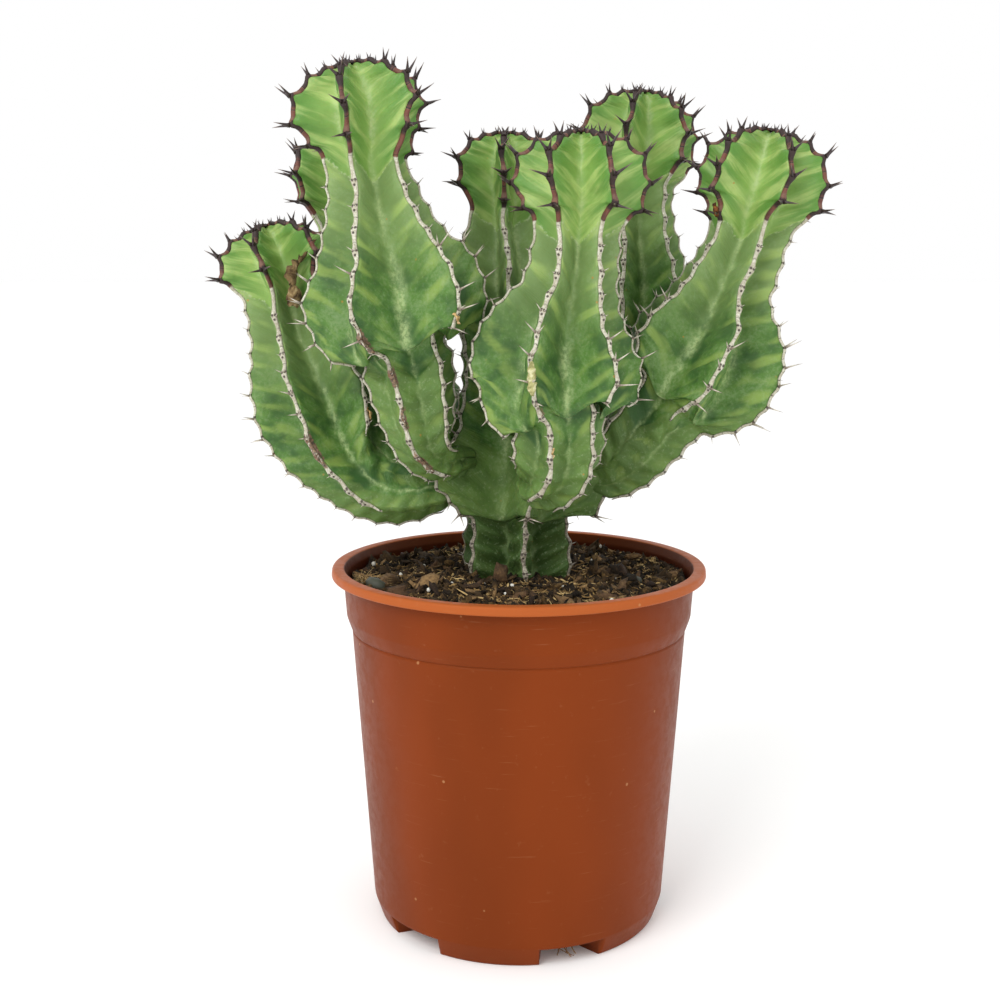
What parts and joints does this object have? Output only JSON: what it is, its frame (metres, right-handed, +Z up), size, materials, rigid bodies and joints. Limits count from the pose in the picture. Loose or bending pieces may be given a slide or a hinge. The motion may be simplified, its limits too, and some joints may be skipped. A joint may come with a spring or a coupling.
{
  "type": "potted euphorbia",
  "caption": "Young candelabra euphorbia with winged, spiny ribs, rooted in potting mix in a round plastic nursery pot with a notched foot.",
  "frame": {"origin": "on the floor under the pot, on the pot's axis", "axes": "+Z up, -Y towards the front"},
  "size_m": [0.2776, 0.1744, 0.3828],
  "materials": {
    "terracotta_plastic": "satin terracotta-brown polypropylene with light scuffs",
    "peat_mix": "coarse dark peat with bark, fibres and pale grit",
    "old_green": "waxy satin green skin with a grey bloom",
    "young_green": "waxy satin green skin, brighter at the crowns, with yellow-green streaks",
    "horny_margin": "dry horny margin, maroon at the crowns and pale grey on old growth"
  },
  "bodies": {
    "root": {"pot": "terracotta_plastic", "potting_mix": "peat_mix", "main_stem": "old_green", "main_stem_spines": "horny_margin", "arm_left_front": "young_green", "arm_left_front_spines": "horny_margin", "arm_left": "young_green", "arm_left_spines": "horny_margin", "arm_back_left": "young_green", "arm_back_left_spines": "horny_margin", "arm_front": "young_green", "arm_front_spines": "horny_margin", "arm_back_right": "young_green", "arm_back_right_spines": "horny_margin", "arm_right": "young_green", "arm_right_spines": "horny_margin"}
  },
  "joints": []
}
